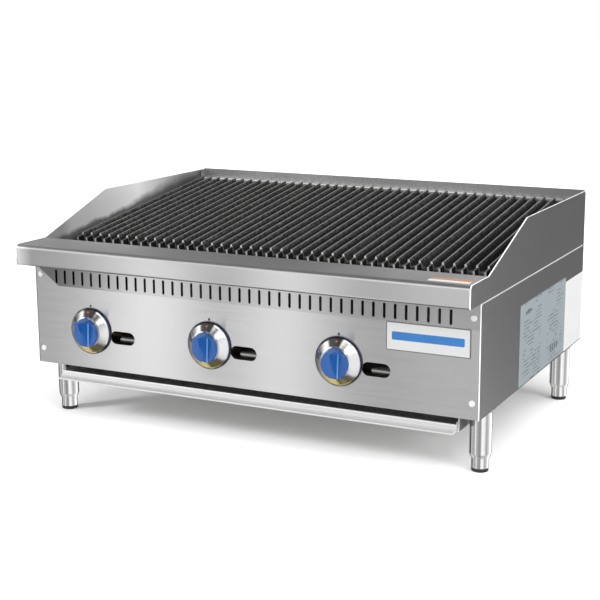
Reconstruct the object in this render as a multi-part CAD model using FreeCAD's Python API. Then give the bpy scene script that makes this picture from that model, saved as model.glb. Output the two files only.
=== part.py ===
import FreeCAD, Part
import math
import os

# Countertop gas charbroiler, 36 inch class, three burners under six cast-iron grates.
# Millimetres. X runs to the right as seen from the front, Y to the rear, Z up.
# The origin is at the centre of the bounding box, on the surface the feet stand on.

V = FreeCAD.Vector

# ---- driving dimensions of the body ----
WIDTH = 914.0              # over the hems of the side panels
BODY_DEPTH = 635.6         # front panel face to rear face
NOSE_OVERHANG = 55.8       # front rail ahead of the front panel
INLET_STUB = 24.4          # gas inlet behind the rear face
PANEL_BOTTOM = 110.0       # underside of the casing above the counter
SEAM_HEIGHT = 311.6        # joint between lower panels and upper casing
LEDGE_HEIGHT = 352.0       # top of the front rail
GUARD_HEIGHT = 422.7       # top of the side guards
SPLASH_HEIGHT = 425.0      # top of the back splash
SHEET = 1.5                # casing sheet
SIDE_SHEET = 2.0           # side plates
FRONT = NOSE_OVERHANG - (NOSE_OVERHANG + BODY_DEPTH + INLET_STUB) / 2.0
HALF = WIDTH / 2.0
SIDE_FACE = HALF - 1.0     # outer face of the side plates, the hem stands 1 mm proud
SIDE_INNER = SIDE_FACE - SIDE_SHEET

# ---- front rail ----
NOSE_RADIUS = 8.0
FOLD_RADIUS = 4.0          # bend at the nose's lower front
LEDGE_REAR = 35.0          # depth of the ledge's rear edge
LEDGE_LIP = 22.0           # flange turned down at that edge
END_REVEAL = 0.5           # side plates stand this far proud of the rail they close

# ---- front panel ----
VENT_COUNT = 41
VENT_PITCH = 20.215
VENT_CENTRE = -2.1
VENT_WIDTH = 5.0
VENT_BOTTOM = 270.5
VENT_TOP = 297.5
SECTION_PITCH = 262.0      # burner sections
KNOB_CENTRE = -66.6        # middle knob
KNOB_HEIGHT = 184.8
PORT_CENTRE = 4.4          # middle lighting port
PORT_HEIGHT = 176.8
PORT_LENGTH = 54.0
PORT_WIDTH = 25.0
STEM_HOLE = 9.0
SCREW_X = (-442.6, 442.6)
SCREW_HEIGHTS = (138.9, 286.2)
SCREW_HEAD = 5.6

# ---- grates ----
GRATE_COUNT = 6
GRATE_PITCH = 150.78
GRATE_WIDTH = 148.4
BAR_COUNT = 7
BAR_PITCH = 21.34
GRATE_SLOPE = 7.4          # degrees, rising to the rear
GRATE_FRONT = 137.0        # depth of the ridge's front end
GRATE_TOP = 348.0          # height of the ridge's front end
GRATE_LENGTH = 476.0       # along the slope
FINGER_LENGTH = 18.5
FINGER_DROP = 4.6
FINGER_WIDTH = 3.8
BAR_HEIGHT = 16.0
RIDGE_WIDTH = 3.0
BAR_WIDTH = 13.5
TIE_DEPTH = 6.0            # tie bars below the bars
TIE_WIDTH = 9.0
TIE_STARTS = (7.0, 162.0, 312.0, 459.0)

# ---- burners and gas train ----
BURNER_LEG = 66.0          # half distance between the legs of one burner
BURNER_RADIUS = 16.0
BURNER_WALL = 3.5
BURNER_PORTS = 16          # flame ports in a row on each leg
MANIFOLD_DEPTH = 60.0
MANIFOLD_HEIGHT = 162.0
PIPE_RADIUS = 13.35        # 3/4 inch iron pipe
PIPE_BORE = 10.5
THREAD_RADIUS = 13.0
THREAD_LENGTH = 20.0
INLET_X = 425.0
INLET_HEIGHT = 128.0
RUNNING_GAP = 0.05

# ---- firebox ----
FIREBOX_HALF = 452.2
FIREBOX_FRONT = 136.0
FIREBOX_REAR = 613.0
FIREBOX_BOTTOM = KNOB_HEIGHT - BURNER_RADIUS - SHEET
RADIANT_LEDGE = 233.0      # height the radiants rest on
RADIANT_PEAK = 40.0
RADIANT_HALF = 128.0

# ---- controls ----
SKIRT_RADIUS = 44.8
KNOB_RADIUS = 25.6
KNOB_DROP = 2.5            # centre of the grip's round base below the axis
KNOB_POINT = 29.5          # tip above the axis
KNOB_FLAT = 27.0           # flat below the axis
KNOB_BACK = -16.5          # depth where the knob meets the skirt
STEM_ROD = 4.0

# ---- legs ----
LEG_X = 436.6
LEG_DEPTHS = (65.3, 554.9)
LEG_RADIUS = 19.9
LEG_BOTTOM = 26.0
FOOT_RADIUS = 15.8
LEG_BORE = 16.2
STEM_RADIUS = 6.0
PAD_HEIGHT = 6.0

# ---- drip tray ----
TRAY_HALF = 410.0
TRAY_FLOOR = 80.3
TRAY_TOP = 93.7
TRAY_REAR = 575.0
RAIL_REAR = 582.0


def at(depth):
    """Y of a depth measured from the front panel's face."""
    return FRONT + depth


def block(x0, x1, d0, d1, z0, z1):
    return Part.makeBox(x1 - x0, d1 - d0, z1 - z0, V(x0, at(d0), z0))


def rod(radius, start, end):
    """Cylinder between two (x, depth, z) points."""
    a = V(start[0], at(start[1]), start[2])
    b = V(end[0], at(end[1]), end[2])
    return Part.makeCylinder(radius, (b - a).Length, a, b - a)


def side_plate(points, x0, x1):
    """Polygon of (depth, z) points, extruded from x0 to x1."""
    corners = [V(x0, at(d), z) for d, z in points]
    face = Part.Face(Part.makePolygon(corners + corners[:1]))
    return face.extrude(V(x1 - x0, 0, 0))


def front_plate(points, d0, d1):
    """Polygon of (x, z) points, extruded from depth d0 to d1."""
    corners = [V(x, at(d0), z) for x, z in points]
    face = Part.Face(Part.makePolygon(corners + corners[:1]))
    return face.extrude(V(0, d1 - d0, 0))


def fuse(shapes):
    return shapes[0].multiFuse(shapes[1:]).removeSplitter()


def mirror(shape):
    return shape.mirror(V(0, 0, 0), V(1, 0, 0))


def turned(points, centre_x, height):
    """Solid of revolution about a Y-parallel axis from (radius, depth) points."""
    corners = [V(centre_x + r, at(d), height) for r, d in points]
    face = Part.Face(Part.makePolygon(corners + corners[:1]))
    return face.revolve(V(centre_x, 0, height), V(0, 1, 0), 360)


def edges_where(shape, test):
    return [edge for edge in shape.Edges if test(edge)]


def along(edge, direction):
    """True for a straight edge parallel to a direction."""
    if edge.Curve.TypeId != "Part::GeomLine":
        return False
    span = edge.Vertexes[-1].Point - edge.Vertexes[0].Point
    return span.cross(direction).Length < 1e-6 * span.Length


def section_centres(middle):
    return [middle + k * SECTION_PITCH for k in (-1, 0, 1)]


# ---------------------------------------------------------------- casing

def port_cutter(x):
    """Obround lighting port through the front panel."""
    reach = (PORT_LENGTH - PORT_WIDTH) / 2.0
    radius = PORT_WIDTH / 2.0
    ends = [rod(radius, (x + s * reach, -5, PORT_HEIGHT), (x + s * reach, 5, PORT_HEIGHT)) for s in (-1, 1)]
    middle = block(x - reach, x + reach, -5, 5, PORT_HEIGHT - radius, PORT_HEIGHT + radius)
    return fuse(ends + [middle])


def vent_cutter(x):
    """Vertical air slot with round ends."""
    radius = VENT_WIDTH / 2.0
    low = VENT_BOTTOM + radius
    high = VENT_TOP - radius
    ends = [rod(radius, (x, -5, z), (x, 5, z)) for z in (low, high)]
    return fuse(ends + [block(x - radius, x + radius, -5, 5, low, high)])


def front_panel():
    edge = SIDE_INNER - 0.3
    sheet = block(-edge, edge, 0, SHEET, PANEL_BOTTOM, SEAM_HEIGHT - 0.2)
    sheet = sheet.makeFillet(1.0, edges_where(sheet, lambda e: along(e, V(1, 0, 0))
                                              and e.CenterOfMass.y < at(0.1)
                                              and e.CenterOfMass.z < PANEL_BOTTOM + 1))
    flange = block(-edge, edge, SHEET - 0.2, 20, PANEL_BOTTOM, PANEL_BOTTOM + SHEET)
    first = VENT_CENTRE - VENT_PITCH * (VENT_COUNT - 1) / 2.0
    cutters = [vent_cutter(first + k * VENT_PITCH) for k in range(VENT_COUNT)]
    cutters += [port_cutter(x) for x in section_centres(PORT_CENTRE)]
    cutters += [rod(STEM_HOLE, (x, -5, KNOB_HEIGHT), (x, 5, KNOB_HEIGHT)) for x in section_centres(KNOB_CENTRE)]
    return fuse([sheet, flange]).cut(Part.makeCompound(cutters))


def nose_outline(offset):
    """Nose of the casing, moved inwards by offset: front, bend centre, bend middle, top and bottom."""
    radius = NOSE_RADIUS - offset
    front = -NOSE_OVERHANG + offset
    centre = (-NOSE_OVERHANG + NOSE_RADIUS, LEDGE_HEIGHT - NOSE_RADIUS)
    middle = (centre[0] - radius * math.sqrt(0.5), centre[1] + radius * math.sqrt(0.5))
    top = LEDGE_HEIGHT - offset
    bottom = SEAM_HEIGHT + offset
    return front, centre, middle, top, bottom


def top_ledge():
    """Front rail: closed nose, flat ledge and a flange turned down at the rear."""
    x = SIDE_INNER - 0.3

    def p(depth, z):
        return V(-x, at(depth), z)

    front, centre, middle, top, bottom = nose_outline(END_REVEAL)
    front_in, _, middle_in, top_in, bottom_in = nose_outline(END_REVEAL + SHEET)
    edges = [
        Part.makeLine(p(0, bottom), p(front, bottom)),
        Part.makeLine(p(front, bottom), p(front, centre[1])),
        Part.Arc(p(front, centre[1]), p(*middle), p(centre[0], top)).toShape(),
        Part.makeLine(p(centre[0], top), p(LEDGE_REAR, top)),
        Part.makeLine(p(LEDGE_REAR, top), p(LEDGE_REAR, top - LEDGE_LIP)),
        Part.makeLine(p(LEDGE_REAR, top - LEDGE_LIP), p(LEDGE_REAR - SHEET, top - LEDGE_LIP)),
        Part.makeLine(p(LEDGE_REAR - SHEET, top - LEDGE_LIP), p(LEDGE_REAR - SHEET, top_in)),
        Part.makeLine(p(LEDGE_REAR - SHEET, top_in), p(centre[0], top_in)),
        Part.Arc(p(centre[0], top_in), p(*middle_in), p(front_in, centre[1])).toShape(),
        Part.makeLine(p(front_in, centre[1]), p(front_in, bottom_in)),
        Part.makeLine(p(front_in, bottom_in), p(0, bottom_in)),
        Part.makeLine(p(0, bottom_in), p(0, bottom)),
    ]
    rail = Part.Face(Part.Wire(edges)).extrude(V(2 * x, 0, 0))

    def fold(depth, z):
        return edges_where(rail, lambda e: along(e, V(1, 0, 0)) and abs(e.CenterOfMass.y - at(depth)) < 0.1
                           and abs(e.CenterOfMass.z - z) < 0.1)

    rail = rail.makeFillet(FOLD_RADIUS, fold(front, bottom))
    rail = rail.makeFillet(FOLD_RADIUS - SHEET, fold(front_in, bottom_in))
    return rail.makeFillet(1.2, fold(LEDGE_REAR, top))


def right_guard():
    """Upper side plate: closes the nose's end and rises to the rear as a guard."""
    x = SIDE_INNER
    knee_low = 33.9
    knee_high = 238.7

    def p(depth, z):
        return V(x, at(depth), z)

    front, centre, middle, top, _ = nose_outline(0.0)
    rear_round = 6.0
    diagonal = rear_round * (1 - math.sqrt(0.5))
    edges = [
        Part.makeLine(p(front, SEAM_HEIGHT), p(front, centre[1])),
        Part.Arc(p(front, centre[1]), p(*middle), p(centre[0], top)).toShape(),
        Part.makeLine(p(centre[0], top), p(knee_low, top)),
        Part.makeLine(p(knee_low, top), p(knee_high, GUARD_HEIGHT)),
        Part.makeLine(p(knee_high, GUARD_HEIGHT), p(BODY_DEPTH - rear_round, GUARD_HEIGHT)),
        Part.Arc(p(BODY_DEPTH - rear_round, GUARD_HEIGHT),
                 p(BODY_DEPTH - diagonal, GUARD_HEIGHT - diagonal),
                 p(BODY_DEPTH, GUARD_HEIGHT - rear_round)).toShape(),
        Part.makeLine(p(BODY_DEPTH, GUARD_HEIGHT - rear_round), p(BODY_DEPTH, SEAM_HEIGHT)),
        Part.makeLine(p(BODY_DEPTH, SEAM_HEIGHT), p(front, SEAM_HEIGHT)),
    ]
    plate = Part.Face(Part.Wire(edges)).extrude(V(SIDE_SHEET, 0, 0))
    corner = edges_where(plate, lambda e: along(e, V(1, 0, 0)) and e.BoundBox.YMax < at(front) + 0.1
                         and e.BoundBox.ZMax < SEAM_HEIGHT + 0.1)
    plate = plate.makeFillet(FOLD_RADIUS + END_REVEAL, corner)
    outer = edges_where(plate, lambda e: e.BoundBox.XMin > SIDE_FACE - 0.01)
    return plate.makeChamfer(0.4, outer)


def right_panel():
    """Lower side panel with a hem along the seam and a flange for the legs."""
    hem_height = 2.6
    floor_width = 40.0
    plate = block(SIDE_INNER, SIDE_FACE, -0.5, BODY_DEPTH, PANEL_BOTTOM, SEAM_HEIGHT)
    hem = side_plate([(-0.5, SEAM_HEIGHT - hem_height), (BODY_DEPTH - 8, SEAM_HEIGHT - hem_height),
                      (BODY_DEPTH - 8, SEAM_HEIGHT), (-0.5, SEAM_HEIGHT)], SIDE_FACE - 0.5, HALF)
    hem = hem.makeChamfer(0.45, edges_where(hem, lambda e: along(e, V(0, 1, 0)) and e.CenterOfMass.x > HALF - 0.1))
    flange = block(SIDE_INNER - floor_width, SIDE_INNER + 0.5, SHEET, BODY_DEPTH - 2, PANEL_BOTTOM,
                   PANEL_BOTTOM + SIDE_SHEET)
    flange = flange.cut(block(0, SIDE_INNER, 0, 22, 0, SEAM_HEIGHT))
    flange = flange.cut(block(0, SIDE_INNER, 613, BODY_DEPTH, 0, SEAM_HEIGHT))
    return fuse([plate, hem, flange])


def back_splash():
    """Rear guard with a deck flange behind the grates and short side returns."""
    x = SIDE_INNER - 0.3
    deck_front = 614.5
    deck_height = 403.6
    upright = block(-x, x, BODY_DEPTH - SHEET, BODY_DEPTH, SEAM_HEIGHT, SPLASH_HEIGHT)
    upright = upright.makeFillet(0.6, edges_where(upright, lambda e: along(e, V(1, 0, 0))
                                                  and e.CenterOfMass.z > SPLASH_HEIGHT - 1))
    deck = block(-x, x, deck_front, BODY_DEPTH - 1, deck_height - SHEET, deck_height)
    returns = [block(s * x - (SHEET if s > 0 else 0), s * x + (0 if s > 0 else SHEET), 618, BODY_DEPTH - 1,
                     deck_height - 1, GUARD_HEIGHT - 3) for s in (-1, 1)]
    return fuse([upright, deck] + returns)


def rear_panel():
    """Lower rear cover with louvre slots and the hole for the gas inlet."""
    x = SIDE_INNER - 0.3
    sheet = block(-x, x, BODY_DEPTH - SHEET, BODY_DEPTH, PANEL_BOTTOM, SEAM_HEIGHT - 0.3)
    flange = block(-x, x, 615, BODY_DEPTH - 1, PANEL_BOTTOM, PANEL_BOTTOM + SHEET)
    slots = []
    for column in range(-3, 4):
        for row in range(3):
            low = 200.0 + row * 24.0
            slots.append(block(column * 115.0 - 40, column * 115.0 + 40, BODY_DEPTH - 5, BODY_DEPTH + 5,
                               low, low + 7))
    slots.append(rod(PIPE_RADIUS + 2, (INLET_X, BODY_DEPTH - 30, INLET_HEIGHT), (INLET_X, BODY_DEPTH + 5,
                                                                               INLET_HEIGHT)))
    return fuse([sheet, flange]).cut(Part.makeCompound(slots))


def base_rail(depth, web_depth):
    """Angle across the underside that carries the tray rails."""
    half = 410.0
    foot = block(-half, half, depth, depth + 30, PANEL_BOTTOM, PANEL_BOTTOM + 3)
    web = block(-half, half, web_depth, web_depth + 3, PANEL_BOTTOM + 2, PANEL_BOTTOM + 25)
    return fuse([foot, web])


# ---------------------------------------------------------------- firebox

def ridge_height(depth):
    """Height of the grate ridges at a depth."""
    return GRATE_TOP + (depth - GRATE_FRONT) * math.tan(math.radians(GRATE_SLOPE))


def grate_underside(slope_distance):
    """Depth and height of a tie bar's lowest edge, at a distance along the grate."""
    angle = math.radians(GRATE_SLOPE)
    drop = -(BAR_HEIGHT + TIE_DEPTH)
    depth = GRATE_FRONT + slope_distance * math.cos(angle) - drop * math.sin(angle)
    height = GRATE_TOP + slope_distance * math.sin(angle) + drop * math.cos(angle)
    return depth, height


def firebox_front():
    """Front wall with mixer-tube holes, a burner ledge and a radiant ledge."""
    height = grate_underside(TIE_STARTS[0])[1] - 4.0
    wall = block(-FIREBOX_HALF, FIREBOX_HALF, FIREBOX_FRONT, FIREBOX_FRONT + SHEET, FIREBOX_BOTTOM, height)
    burner_ledge = block(-FIREBOX_HALF, FIREBOX_HALF, FIREBOX_FRONT + 1, FIREBOX_FRONT + 40, FIREBOX_BOTTOM,
                         FIREBOX_BOTTOM + SHEET)
    radiant_ledge = block(-FIREBOX_HALF, FIREBOX_HALF, FIREBOX_FRONT + 1, FIREBOX_FRONT + 18,
                          RADIANT_LEDGE - SHEET, RADIANT_LEDGE)
    holes = [rod(17.2, (x, 120, KNOB_HEIGHT), (x, FIREBOX_FRONT + 1.6, KNOB_HEIGHT))
             for x in section_centres(KNOB_CENTRE)]
    return fuse([wall, burner_ledge, radiant_ledge]).cut(Part.makeCompound(holes))


def firebox_rear():
    """Rear wall with matching ledges."""
    height = grate_underside(TIE_STARTS[-1])[1] - 4.0
    wall = block(-FIREBOX_HALF, FIREBOX_HALF, FIREBOX_REAR - SHEET, FIREBOX_REAR, FIREBOX_BOTTOM, height)
    burner_ledge = block(-FIREBOX_HALF, FIREBOX_HALF, FIREBOX_REAR - 30, FIREBOX_REAR - 1, FIREBOX_BOTTOM,
                         FIREBOX_BOTTOM + SHEET)
    radiant_ledge = block(-FIREBOX_HALF, FIREBOX_HALF, FIREBOX_REAR - 18, FIREBOX_REAR - 1,
                          RADIANT_LEDGE - SHEET, RADIANT_LEDGE)
    return fuse([wall, burner_ledge, radiant_ledge])


def firebox_side():
    """Right-hand liner, its top edge just below the grate ridges."""
    front = FIREBOX_FRONT
    rear = FIREBOX_REAR
    top = -7.0
    outline = [(front, FIREBOX_BOTTOM), (rear, FIREBOX_BOTTOM), (rear, ridge_height(rear) + top),
               (front, ridge_height(front) + top)]
    return side_plate(outline, FIREBOX_HALF + 0.1, SIDE_INNER - 0.2)


def grate_rail(slope_distance, start, end, lip):
    """Angle whose flat top carries the grates' tie bars."""
    top = grate_underside(slope_distance)[1] - 0.3
    flat = block(-FIREBOX_HALF, FIREBOX_HALF, start, end, top - 3, top)
    web = block(-FIREBOX_HALF, FIREBOX_HALF, lip, lip + 3, top - 22, top - 2)
    return fuse([flat, web])


def grease_trough():
    """Front gutter below the grates' fingers, with a downspout to the tray."""
    half = FIREBOX_HALF - 1.0
    front = 39.0
    rear = 133.0
    floor = 296.0
    channel = side_plate([(front, 332), (front + SHEET, 332), (front + SHEET, floor + SHEET),
                          (rear - SHEET, floor + SHEET), (rear - SHEET, 318), (rear, 318), (rear, floor),
                          (front, floor)], -half, half)
    ends = [block(s * half - (SHEET if s > 0 else 0), s * half + (0 if s > 0 else SHEET), front, rear, floor,
                  318) for s in (-1, 1)]
    spout_x = -400.0
    spout_depth = 100.0
    spout = rod(15, (spout_x, spout_depth, 140), (spout_x, spout_depth, floor + 0.5))
    bore = rod(13.5, (spout_x, spout_depth, 130), (spout_x, spout_depth, floor + 10))
    return fuse([channel, spout] + ends).cut(bore)


# ---------------------------------------------------------------- grates

def bar_outline(x, narrow_left, narrow_right, edge):
    """Section of one bar: a thin ridge on flanks that spread downwards, to the edge at the outer bars."""
    half = RIDGE_WIDTH / 2.0
    left = x - BAR_WIDTH / 2.0 if narrow_left else -edge
    right = x + BAR_WIDTH / 2.0 if narrow_right else edge
    return [(x - half, 0), (x + half, 0), (x + half + 0.6, -3.5), (right, -BAR_HEIGHT + 2),
            (right, -BAR_HEIGHT), (left, -BAR_HEIGHT), (left, -BAR_HEIGHT + 2), (x - half - 0.6, -3.5)]


def grate(number):
    """Cast grate of seven bars on four tie bars, sloped to drain to the front."""
    edge = GRATE_WIDTH / 2.0
    bars = []
    for k in range(BAR_COUNT):
        x = (k - (BAR_COUNT - 1) / 2.0) * BAR_PITCH
        corners = [V(a, 0, b) for a, b in bar_outline(x, k > 0, k < BAR_COUNT - 1, edge)]
        body = Part.Face(Part.makePolygon(corners + corners[:1])).extrude(V(0, GRATE_LENGTH, 0))
        finger_top = -FINGER_DROP
        finger = Part.makeBox(FINGER_WIDTH, FINGER_LENGTH + 1, BAR_HEIGHT + finger_top,
                              V(x - FINGER_WIDTH / 2.0, -FINGER_LENGTH, -BAR_HEIGHT))
        finger = finger.makeChamfer(0.6, edges_where(finger, lambda e: along(e, V(0, 1, 0))
                                                     and e.CenterOfMass.z > finger_top - 0.1))
        bars += [body, finger]
    ties = [Part.makeBox(2 * edge, TIE_WIDTH, TIE_DEPTH + 4, V(-edge, start, -BAR_HEIGHT - TIE_DEPTH))
            for start in TIE_STARTS]
    front_wall = Part.makeBox(2 * edge, 5, BAR_HEIGHT - 11, V(-edge, 1, -BAR_HEIGHT))
    rear_wall = Part.makeBox(2 * edge, 6, BAR_HEIGHT - 4, V(-edge, GRATE_LENGTH - 6, -BAR_HEIGHT))
    shape = fuse(bars + ties + [front_wall, rear_wall])
    shape.rotate(V(0, 0, 0), V(1, 0, 0), GRATE_SLOPE)
    offset = (number - (GRATE_COUNT + 1) / 2.0) * GRATE_PITCH
    shape.translate(V(offset, at(GRATE_FRONT), GRATE_TOP))
    return shape


# ---------------------------------------------------------------- heat

def radiant(x):
    """Cast radiant of one section: two ridges, each over a burner leg."""
    thickness = 5.0
    low = RADIANT_LEDGE + 0.3
    high = low + RADIANT_PEAK
    under = [(-RADIANT_HALF, low), (-BURNER_LEG, high), (0, low), (BURNER_LEG, high), (RADIANT_HALF, low)]
    over = [(a, b + thickness) for a, b in reversed(under)]
    outline = [(x + a, b) for a, b in under + over]
    return front_plate(outline, FIREBOX_FRONT + 3, FIREBOX_REAR - 3)


def burner(x):
    """U-shaped cast burner with its mixer tube on the left leg."""
    front = 158.0
    rear = 598.0
    z = KNOB_HEIGHT
    inner = BURNER_RADIUS - BURNER_WALL
    left = x - BURNER_LEG
    right = x + BURNER_LEG
    legs = [rod(BURNER_RADIUS, (a, front, z), (a, rear, z)) for a in (left, right)]
    cross = rod(BURNER_RADIUS - 0.5, (left, front + 18, z), (right, front + 18, z))
    mixer = rod(BURNER_RADIUS, (left, 90, z), (left, front + 1, z))
    bores = [rod(inner, (a, front + 4, z), (a, rear - 5, z)) for a in (left, right)]
    bores += [rod(inner, (left, 80, z), (left, front + 10, z)), rod(inner - 0.5, (left, front + 18, z),
                                                                  (right, front + 18, z))]
    ports = [rod(2.2, (a, front + 50 + k * 24, z), (a, front + 50 + k * 24, z + 20))
             for a in (left, right) for k in range(BURNER_PORTS)]
    return fuse(legs + [cross, mixer]).cut(Part.makeCompound(bores)).cut(Part.makeCompound(ports))


def gas_manifold():
    """Supply pipe behind the front panel, closed at its left end."""
    z = MANIFOLD_HEIGHT
    pipe = rod(PIPE_RADIUS, (-360, MANIFOLD_DEPTH, z), (INLET_X - 30, MANIFOLD_DEPTH, z))
    bore = rod(PIPE_BORE, (-350, MANIFOLD_DEPTH, z), (INLET_X - 20, MANIFOLD_DEPTH, z))
    cap = rod(PIPE_RADIUS + 3, (-376, MANIFOLD_DEPTH, z), (-354, MANIFOLD_DEPTH, z))
    return fuse([pipe, cap]).cut(bore)


def swept_pipe(radius):
    """Inlet pipe: across, down and back to the rear, with round elbows."""
    bend = 17.0
    cos45 = math.sqrt(0.5)
    z0 = MANIFOLD_HEIGHT
    z1 = INLET_HEIGHT
    y = at(MANIFOLD_DEPTH)
    rear = at(BODY_DEPTH + INLET_STUB)
    start = V(INLET_X - 30, y, z0)
    turn_a = V(INLET_X - bend, y, z0)
    mid_a = V(INLET_X - bend + bend * cos45, y, z0 - bend + bend * cos45)
    turn_b = V(INLET_X, y, z0 - bend)
    mid_b = V(INLET_X, y + bend - bend * cos45, z1 + bend - bend * cos45)
    turn_c = V(INLET_X, y + bend, z1)
    path = Part.Wire([Part.makeLine(start, turn_a), Part.Arc(turn_a, mid_a, turn_b).toShape(),
                      Part.Arc(turn_b, mid_b, turn_c).toShape(), Part.makeLine(turn_c, V(INLET_X, rear, z1))])
    profile = Part.Wire([Part.makeCircle(radius, start, V(1, 0, 0))])
    return path.makePipeShell([profile], True, False)


def gas_inlet_pipe():
    """Inlet pipe with its rear end turned down for the thread."""
    end = BODY_DEPTH + INLET_STUB
    spread = rod(PIPE_RADIUS + 5, (INLET_X, end - THREAD_LENGTH, INLET_HEIGHT), (INLET_X, end + 1, INLET_HEIGHT))
    core = rod(THREAD_RADIUS, (INLET_X, end - 40, INLET_HEIGHT), (INLET_X, end + 2, INLET_HEIGHT))
    return swept_pipe(PIPE_RADIUS).cut(spread.cut(core)).cut(swept_pipe(PIPE_BORE))


def valve(x):
    """Brass burner valve: body, saddle nipple to the manifold and orifice hood."""
    z = KNOB_HEIGHT
    body = rod(11, (x, 18, z), (x, 72, z))
    bonnet = rod(13, (x, 24, z), (x, 34, z))
    hood = rod(7, (x, 70, z), (x, 96, z))
    nipple = rod(8, (x, MANIFOLD_DEPTH, MANIFOLD_HEIGHT), (x, MANIFOLD_DEPTH, z))
    stem_bore = rod(STEM_ROD + RUNNING_GAP, (x, 10, z), (x, 50, z))
    manifold = rod(PIPE_RADIUS, (x - 30, MANIFOLD_DEPTH, MANIFOLD_HEIGHT), (x + 30, MANIFOLD_DEPTH,
                                                                          MANIFOLD_HEIGHT))
    orifice = rod(1.5, (x, 80, z), (x, 100, z))
    return fuse([body, bonnet, hood, nipple]).cut(manifold).cut(stem_bore).cut(orifice)


def pilot_burner(x):
    """Pilot behind a lighting port: a short tube fed from the manifold."""
    z = PORT_HEIGHT - 7.0
    depth = 18.5
    head = rod(5.6, (x - 14, depth, z), (x + 40, depth, z))
    feed = rod(3.2, (x + 34, depth, z), (x + 34, MANIFOLD_DEPTH, MANIFOLD_HEIGHT))
    manifold = rod(PIPE_RADIUS, (x, MANIFOLD_DEPTH, MANIFOLD_HEIGHT), (x + 60, MANIFOLD_DEPTH, MANIFOLD_HEIGHT))
    return fuse([head, feed]).cut(manifold)


# ---------------------------------------------------------------- controls

def valve_stem(x):
    stem = rod(STEM_ROD, (x, -34, KNOB_HEIGHT), (x, 45, KNOB_HEIGHT))
    flat = block(x - 5, x + 5, -40, -14, KNOB_HEIGHT + 2.5, KNOB_HEIGHT + 6)
    return stem.cut(flat)


def knob_skirt(x):
    """Chrome dish that turns with the knob."""
    rim = SKIRT_RADIUS
    bore = STEM_ROD + 0.3
    outline = [(rim - 0.8, -1.6), (rim, -2.2), (rim, -3.4), (rim - 1.0, -4.6), (rim - 4.3, -7.4),
               (34.5, -11.6), (29.5, -15.0), (26.8, KNOB_BACK), (bore, KNOB_BACK), (bore, KNOB_BACK + 1.5),
               (26.3, KNOB_BACK + 1.5), (33.5, -10.3), (rim - 5.3, -6.0), (rim - 2.2, -3.4), (rim - 2.2, -1.6)]
    return turned(outline, x, KNOB_HEIGHT)


def knob(x):
    """Blue grip: pointed base and a blade that leans forward to the top."""
    z = KNOB_HEIGHT
    centre = z - KNOB_DROP
    back = KNOB_BACK
    face = back - 6.0
    tangent = math.acos(KNOB_RADIUS / (KNOB_POINT + KNOB_DROP))
    touch_x = KNOB_RADIUS * math.sin(tangent)
    touch_z = centre + KNOB_RADIUS * math.cos(tangent)
    disc = rod(KNOB_RADIUS, (x, face, centre), (x, back, centre))
    pointer = front_plate([(x - touch_x, touch_z), (x, z + KNOB_POINT), (x + touch_x, touch_z), (x, centre)],
                          face, back)
    base = fuse([disc, pointer]).cut(block(x - 30, x + 30, face - 1, back + 1, z - 40, z - KNOB_FLAT))
    rim = edges_where(base, lambda e: e.BoundBox.YMax < at(face) + 0.01)
    base = base.makeFillet(1.6, rim)
    blade = knob_blade(x, z, face + 2.0)
    bore = rod(STEM_ROD + 0.03, (x, back - 19.5, z), (x, back + 1, z))
    return fuse([base, blade]).cut(bore)


def knob_blade(x, z, root):
    """Blade lofted from its wide root to a narrow front edge that leans forward."""
    lean = 0.36

    def section(depth, slant, top_half, low_half, top, low):
        outline = [(top_half, top - 2.5), (0, top), (-top_half, top - 2.5), (-low_half, low), (low_half, low)]
        corners = [V(x + a, at(depth - slant * (b - low)), z + b) for a, b in outline]
        return Part.makePolygon(corners + corners[:1])

    return Part.makeLoft([section(root, 0.0, 10.0, 8.0, 28.5, -25.2),
                          section(-34.0, lean, 5.2, 4.4, 26.0, -21.5)], True, True)


# ---------------------------------------------------------------- legs, tray, trim

def leg(x, depth):
    """Leg tube with a swaged foot end, a thread plate and a top plate."""
    wall = [(LEG_BORE, LEG_BOTTOM), (LEG_RADIUS - 2.2, LEG_BOTTOM), (LEG_RADIUS, LEG_BOTTOM + 7),
            (LEG_RADIUS, PANEL_BOTTOM - 2), (LEG_BORE, PANEL_BOTTOM - 2)]
    corners = [V(x + r, at(depth), z) for r, z in wall]
    tube = Part.Face(Part.makePolygon(corners + corners[:1])).revolve(V(x, at(depth), 0), V(0, 0, 1), 360)
    thread_plate = rod(LEG_BORE + 1, (x, depth, 64), (x, depth, 76))
    top_half = 30.0
    side = math.copysign(1.0, x)
    inner = side * (SIDE_INNER - 39)
    outer = side * (SIDE_INNER - 0.5)
    plate = block(min(inner, outer), max(inner, outer), depth - top_half, depth + top_half, PANEL_BOTTOM - 3,
                  PANEL_BOTTOM)
    hole = rod(STEM_RADIUS + RUNNING_GAP, (x, depth, 55), (x, depth, 85))
    return fuse([tube, thread_plate, plate]).cut(hole)


def foot(x, depth):
    """Adjustable foot: steel sleeve inside the leg and its threaded stem."""
    sleeve = rod(FOOT_RADIUS, (x, depth, PAD_HEIGHT), (x, depth, 50))
    sleeve = sleeve.makeChamfer(1.0, edges_where(sleeve, lambda e: e.BoundBox.ZMax < PAD_HEIGHT + 0.1))
    stem = rod(STEM_RADIUS, (x, depth, 48), (x, depth, 94))
    return fuse([sleeve, stem])


def foot_pad(x, depth):
    """Rubber pad under a foot."""
    pad = rod(FOOT_RADIUS - 0.6, (x, depth, 0), (x, depth, PAD_HEIGHT))
    return pad.makeChamfer(1.2, edges_where(pad, lambda e: e.BoundBox.ZMax < 0.1))


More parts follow.
